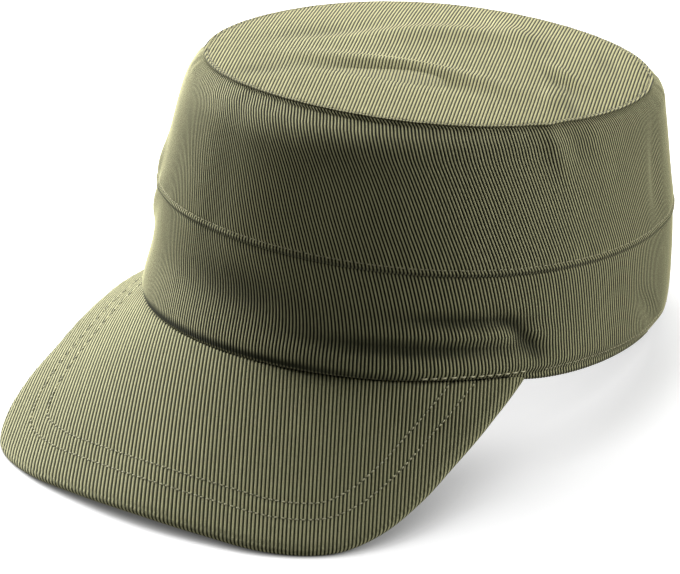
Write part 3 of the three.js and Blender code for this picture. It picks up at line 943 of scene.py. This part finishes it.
def ribbed_twill(name, rib, pale, shade_colour, crest_from, crest_to, seam_shade, sewn):
    """Ribbed cotton twill: pale rounded ribs of twisted yarn with faded and worn patches, grooves painted in
    shade.
    """
    cloth = bpy.data.materials.new(name)
    cloth.use_nodes = True
    tree = cloth.node_tree
    shader = tree.nodes["Principled BSDF"]
    shader.inputs["Roughness"].default_value = 0.86
    shader.inputs["Specular IOR Level"].default_value = 0.12
    shader.inputs["Sheen Weight"].default_value = 0.05
    shader.inputs["Sheen Roughness"].default_value = 0.5
    on_cloth = tree.nodes.new("ShaderNodeUVMap")
    on_cloth.uv_map = "Cloth"
    parts = tree.nodes.new("ShaderNodeSeparateXYZ")
    tree.links.new(on_cloth.outputs["UV"], parts.inputs[0])
    ribs = add_math(tree, "DIVIDE", parts.outputs["X"], rib * MM)
    yarns = add_math(tree, "DIVIDE", parts.outputs["Y"], 0.55 * MM)
    turns = add_math(tree, "MULTIPLY", ribs, 2 * math.pi)
    wave = add_math(tree, "COSINE", turns)
    crest = ramp(tree, wave, crest_from, crest_to)
    yarn_place = add_place(tree, add_math(tree, "MULTIPLY", ribs, 0.9), yarns)
    yarn_noise = add_noise(tree, yarn_place, 0.9, 2, 0.6)
    long_yarns = add_math(tree, "MULTIPLY", yarns, 0.03)
    long_place = add_place(tree, add_math(tree, "MULTIPLY", ribs, 0.8), long_yarns)
    long_noise = add_noise(tree, long_place, 1.0, 2, 0.5)
    object_place = tree.nodes.new("ShaderNodeTexCoord").outputs["Object"]
    faded = add_noise(tree, object_place, 22.0, 3, 0.55)
    slanted = add_math(tree, "ADD", yarns, add_math(tree, "MULTIPLY", ribs, 1.3))
    twist = add_math(tree, "SINE", add_math(tree, "MULTIPLY", slanted, 2 * math.pi))
    worn = tuple(min(1, 1.22 * c + 0.015) for c in pale)
    darker = tuple(0.78 * c for c in pale)
    body = add_mix(tree, ramp(tree, yarn_noise, 0.25, 0.75), darker, pale)
    body = add_mix(tree, add_math(tree, "MULTIPLY", ramp(tree, long_noise, 0.5, 0.8), 0.35), body, worn)
    body = add_mix(tree, add_math(tree, "MULTIPLY", ramp(tree, faded, 0.45, 0.7), 0.22), body, worn)
    # Painted shade in the grooves between the ribs: away from each crest the colour falls to the shade
    # colour.
    coloured = add_mix(tree, crest, shade_colour, body)
    near = tree.nodes.new("ShaderNodeAttribute")
    near.attribute_name = "edge_distance"
    # Painted shade in the crease at each sewn edge: the colour darkens towards half the shade colour there.
    seam = ramp(tree, near.outputs["Fac"], 0.0, 0.6 * MM)
    shaded = add_math(tree, "MULTIPLY", add_math(tree, "SUBTRACT", 1.0, seam), seam_shade)
    coloured = add_mix(tree, shaded, coloured, tuple(0.5 * c for c in shade_colour))
    # Painted shade in folds and in the crease over the peak: the colour is mixed towards the shade colour.
    painted_shade = tree.nodes.new("ShaderNodeAttribute")
    painted_shade.attribute_name = "painted_shade"
    coloured = add_mix(tree, add_math(tree, "MULTIPLY", painted_shade.outputs["Fac"], 0.72), coloured, shade_colour)
    # Painted shade: a dark line along each row of stitches, in the groove the thread pulls into the cloth.
    for row in sewn:
        away = add_math(tree, "ABSOLUTE", add_math(tree, "SUBTRACT", near.outputs["Fac"], row * MM))
        line = add_math(tree, "SUBTRACT", 1.0, ramp(tree, away, 0.1 * MM, 0.45 * MM))
        coloured = add_mix(tree, add_math(tree, "MULTIPLY", line, 0.75), coloured, shade_colour)
    tree.links.new(coloured, shader.inputs["Base Color"])
    height = add_math(tree, "MULTIPLY", wave, 0.25)
    height = add_math(tree, "ADD", height, add_math(tree, "MULTIPLY", twist, 0.12))
    height = add_math(tree, "ADD", height, add_math(tree, "MULTIPLY", yarn_noise, 0.5))
    bump = tree.nodes.new("ShaderNodeBump")
    bump.inputs["Strength"].default_value = 0.8
    bump.inputs["Distance"].default_value = 0.1 * MM
    tree.links.new(height, bump.inputs["Height"])
    tree.links.new(bump.outputs["Normal"], shader.inputs["Normal"])
    return cloth


def sewing_thread(name, colour):
    """Two-ply cotton thread, with its plies wound round it."""
    thread = bpy.data.materials.new(name)
    thread.use_nodes = True
    tree = thread.node_tree
    shader = tree.nodes["Principled BSDF"]
    shader.inputs["Roughness"].default_value = 0.75
    shader.inputs["Specular IOR Level"].default_value = 0.3
    place = tree.nodes.new("ShaderNodeTexCoord").outputs["Object"]
    fibres = add_noise(tree, place, 2600.0, 2, 0.6)
    tint = add_mix(tree, ramp(tree, fibres, 0.3, 0.7), tuple(0.7 * c for c in colour), colour)
    tree.links.new(tint, shader.inputs["Base Color"])
    bump = tree.nodes.new("ShaderNodeBump")
    bump.inputs["Strength"].default_value = 0.6
    bump.inputs["Distance"].default_value = 0.05 * MM
    tree.links.new(fibres, bump.inputs["Height"])
    tree.links.new(bump.outputs["Normal"], shader.inputs["Normal"])
    return thread


# The top's colour and the walls' and peak's are one twill, set apart so each part looks as bright as it
# should under these lamps, which is painted light. The shade colours are painted shade, paler on the peak.
PALE_OLIVE = (0.405, 0.384, 0.196)
WALL_OLIVE = (0.47, 0.456, 0.256)
SHADE_OLIVE = (0.013, 0.015, 0.007)
PEAK_SHADE_OLIVE = (0.03, 0.034, 0.015)

band_cloth = lay_grid("band_cloth", band_sheet)
side_cloth = lay_grid("side_cloth", side_sheet)
top_cloth = lay_grid("top_cloth", crown_top)
peak_cloth = lay_grid("peak_cloth", peak_cover)

# Each cloth with its finish: its colour and shade colour, where a rib's crest begins and is full, setting
# its painted groove shade, how much painted shade its seam gets, and how far in from its edge it is sewn.
FINISHES = [
    (band_cloth, "band", "band_twill", WALL_RIB, WALL_OLIVE, SHADE_OLIVE, -0.45, 0.85, 0.35, ()),
    (side_cloth, "crown_side", "side_twill", WALL_RIB, WALL_OLIVE, SHADE_OLIVE, -0.45, 0.85, 0.5, ()),
    (top_cloth, "top_panel", "top_twill", TOP_RIB, PALE_OLIVE, SHADE_OLIVE, -0.95, 0.6, 0.55, (TOP_STITCH,)),
    (peak_cloth, "peak", "peak_twill", PEAK_RIB, WALL_OLIVE, PEAK_SHADE_OLIVE, -0.72, 0.8, 0.0, PEAK_STITCHES),
]
for cloth, node, slot, rib, pale, shade_colour, crest_from, crest_to, seam_shade, sewn in FINISHES:
    finish = ribbed_twill(slot, rib, pale, shade_colour, crest_from, crest_to, seam_shade, sewn)
    cloth.data.materials.clear()
    cloth.data.materials.append(finish)
    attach(cloth, "root")
    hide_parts(node)


# Stitches

# Each kind has its step from one stitch to the next, a stitch's length, and the thread's thickness.
FINE_STITCH = (2.0, 1.45, 0.44)
LONG_STITCH = (3.5, 2.4, 0.62)
PEAK_STITCH = (2.3, 1.6, 0.56)


def stitch_row(name, path, facing, thread, kind):
    """A row of stitches along a path: one shaped stitch, copied along it and joined."""
    pitch, length, thick = kind
    steps = np.linalg.norm(np.diff(path, axis=0), axis=-1)
    lengths = np.concatenate([[0], np.cumsum(steps)])
    count = int(round(lengths[-1] / pitch))
    at = (np.arange(count) + 0.5) * lengths[-1] / count
    middle = np.stack([np.interp(at, lengths, path[:, axis]) for axis in range(3)], -1)
    ahead = np.stack([np.interp(at + 0.4, lengths, path[:, axis]) for axis in range(3)], -1)
    behind = np.stack([np.interp(at - 0.4, lengths, path[:, axis]) for axis in range(3)], -1)
    outward = np.stack([np.interp(at, lengths, facing[:, axis]) for axis in range(3)], -1)
    bpy.ops.mesh.primitive_uv_sphere_add(segments=6, ring_count=6, radius=1, rotation=(0, math.pi / 2, 0))
    stitch = bpy.context.object
    bpy.ops.object.transform_apply(location=False, rotation=True, scale=False)
    for vertex in stitch.data.vertices:
        x = vertex.co.x
        vertex.co.x = x * length / 2
        vertex.co.y *= thick / 2
        vertex.co.z = vertex.co.z * thick / 2 + thick * (0.4 - 0.5 * x * x)
    bpy.ops.object.shade_smooth()
    copies = []
    for k in range(count):
        copy = stitch.copy()
        copy.data = stitch.data.copy()
        bpy.context.collection.objects.link(copy)
        run = unit(ahead[k] - behind[k])
        up = unit(outward[k] - run * (outward[k] @ run))
        side = np.cross(up, run)
        place = Matrix.Identity(4)
        for axis in range(3):
            place[axis][0], place[axis][1], place[axis][2] = run[axis] * MM, side[axis] * MM, up[axis] * MM
            place[axis][3] = middle[k][axis] * MM
        copy.data.transform(place)
        copies.append(copy)
    bpy.data.objects.remove(stitch)
    for copy in copies:
        copy.select_set(True)
    bpy.context.view_layer.objects.active = copies[0]
    bpy.ops.object.join()
    row = bpy.context.object
    row.name = row.data.name = name
    row.data.materials.clear()
    row.data.materials.append(thread)
    row.select_set(False)
    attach(row, "root")
    return row


def turn_only(vectors):
    cos, sin = math.cos(REST_LEAN), math.sin(REST_LEAN)
    x, y, z = vectors[..., 0], vectors[..., 1], vectors[..., 2]
    return np.stack([x, y * cos + z * sin, z * cos - y * sin], -1)


def wall_path(surface, height_at, foot_height_at, head_height_at, start, end):
    angle = np.radians(np.linspace(start, end, 900))
    foot, head = foot_height_at(angle), head_height_at(angle)
    up = (height_at(angle) - foot) / (head - foot)
    return rest_on_table(surface(angle, up)), turn_only(surface_normal(surface, angle, up))


olive_thread = sewing_thread("olive_thread", (0.46, 0.44, 0.28))
mid_thread = sewing_thread("mid_olive_thread", (0.62, 0.6, 0.39))
pale_thread = sewing_thread("pale_olive_thread", (0.78, 0.75, 0.5))


def seam_stitch_height(angle):
    return side_foot(angle) + SEAM_STITCH


def join_stitch_height(angle):
    """The row by the peak's right corner rises a little towards it."""
    return 1.1 + 0.9 * np.clip((np.degrees(angle) - 38) / 12, 0, 1)


def sew_seam():
    path, facing = wall_path(side_point, seam_stitch_height, side_foot, side_head, -180, 180)
    stitch_row("seam_stitches", path, facing, olive_thread, FINE_STITCH)


def sew_hem():
    path, facing = wall_path(band_point, hem_stitch_height, band_foot, band_head, 72, 278)
    stitch_row("hem_stitches", path, facing, olive_thread, FINE_STITCH)


def sew_join():
    """The bright stitches where the band meets the peak, which show only by its right corner."""
    path, facing = wall_path(band_point, join_stitch_height, band_foot, band_head, 43, 67)
    stitch_row("join_stitches", path, facing, pale_thread, LONG_STITCH)


def sew_top():
    rim = RIM * (1 - TOP_STITCH / np.linalg.norm(RIM, axis=-1, keepdims=True))
    path = top_surface(rim[:, 0], rim[:, 1])
    facing = np.zeros_like(path)
    facing[:, 2] = 1
    stitch_row("top_stitches", rest_on_table(path), turn_only(facing), olive_thread, FINE_STITCH)


def sew_peak():
    outline_way = unit(np.gradient(PEAK_OUTLINE, axis=0))
    inward = np.stack([-outline_way[:, 1], outline_way[:, 0]], -1)
    for name, inset in zip(("peak_edge_stitches", "peak_inner_stitches"), PEAK_STITCHES):
        flat = PEAK_OUTLINE + inward * inset
        u, out = unfold(flat)
        kept = (out > 0.5) & (distance_to_edge(flat) > inset - 0.4)
        flat, u, out = flat[kept], u[kept], out[kept]
        lift, _ = peak_face(flat, u, out)
        normal = peak_normal(u, out)
        path = peak_at(u, out) + normal * lift[:, None]
        stitch_row(name, rest_on_table(path), turn_only(normal), mid_thread, PEAK_STITCH)


sew_seam()
sew_hem()
sew_join()
sew_top()
sew_peak()


# Floor and light

# The floor's painted contact shadow reaches this near to the cap, in metres, and elsewhere the floor
# glows by this much, as painted light seen only by the camera.
SHADOW_REACH = 0.034
FLOOR_GLOW = 0.76


def floor_paper():
    """Pale paper that looks white to the camera without lighting the cap from below: a painted glow for
    camera rays only, dimmed near the cap as a painted contact shadow.
    """
    paper = bpy.data.materials.new("studio_floor")
    paper.use_nodes = True
    tree = paper.node_tree
    shader = tree.nodes["Principled BSDF"]
    shader.inputs["Roughness"].default_value = 0.9
    seen = tree.nodes.new("ShaderNodeLightPath").outputs["Is Camera Ray"]
    white = add_mix(tree, seen, (0.3, 0.3, 0.3), (0.55, 0.55, 0.55))
    tree.links.new(white, shader.inputs["Base Color"])
    shader.inputs["Emission Color"].default_value = (1, 1, 1, 1)
    contact_shadow = tree.nodes.new("ShaderNodeAmbientOcclusion")
    contact_shadow.samples = 16
    contact_shadow.inputs["Distance"].default_value = SHADOW_REACH
    # Painted contact shadow: the floor's glow is dimmed where the cap is near.
    open_share = add_math(tree, "POWER", contact_shadow.outputs["AO"], 1.4)
    glow = add_math(tree, "MULTIPLY", seen, add_math(tree, "MULTIPLY", open_share, FLOOR_GLOW))
    tree.links.new(glow, shader.inputs["Emission Strength"])
    return paper


def add_floor():
    bpy.ops.mesh.primitive_plane_add(size=8)
    floor = bpy.context.object
    floor.name = "floor"
    floor.data.materials.append(floor_paper())
    floor.select_set(False)


def add_softbox(name, place, size, power, aim=(0, 0, 0.05)):
    bpy.ops.object.light_add(type="AREA", location=place)
    lamp = bpy.context.object
    lamp.name = name
    lamp.data.shape = "DISK"
    lamp.data.size = size
    lamp.data.energy = power
    lamp.rotation_euler = (Vector(aim) - Vector(place)).to_track_quat("-Z", "Y").to_euler()
    lamp.select_set(False)


add_floor()
add_softbox("left_softbox", (-1.55, 0.1, 0.48), 0.9, 51)
add_softbox("back_left_softbox", (-1.1, 0.9, 1.2), 2.3, 76)
add_softbox("back_right_softbox", (1.35, 1.2, 0.45), 1.2, 31)
add_softbox("right_softbox", (1.05, -1.05, 0.12), 0.7, 3.6)
world = bpy.data.worlds.new("studio")
world.use_nodes = True
world.node_tree.nodes["Background"].inputs["Color"].default_value = (1, 1, 1, 1)
world.node_tree.nodes["Background"].inputs["Strength"].default_value = 0.01
bpy.context.scene.world = world
bpy.context.scene.view_settings.view_transform = "Standard"
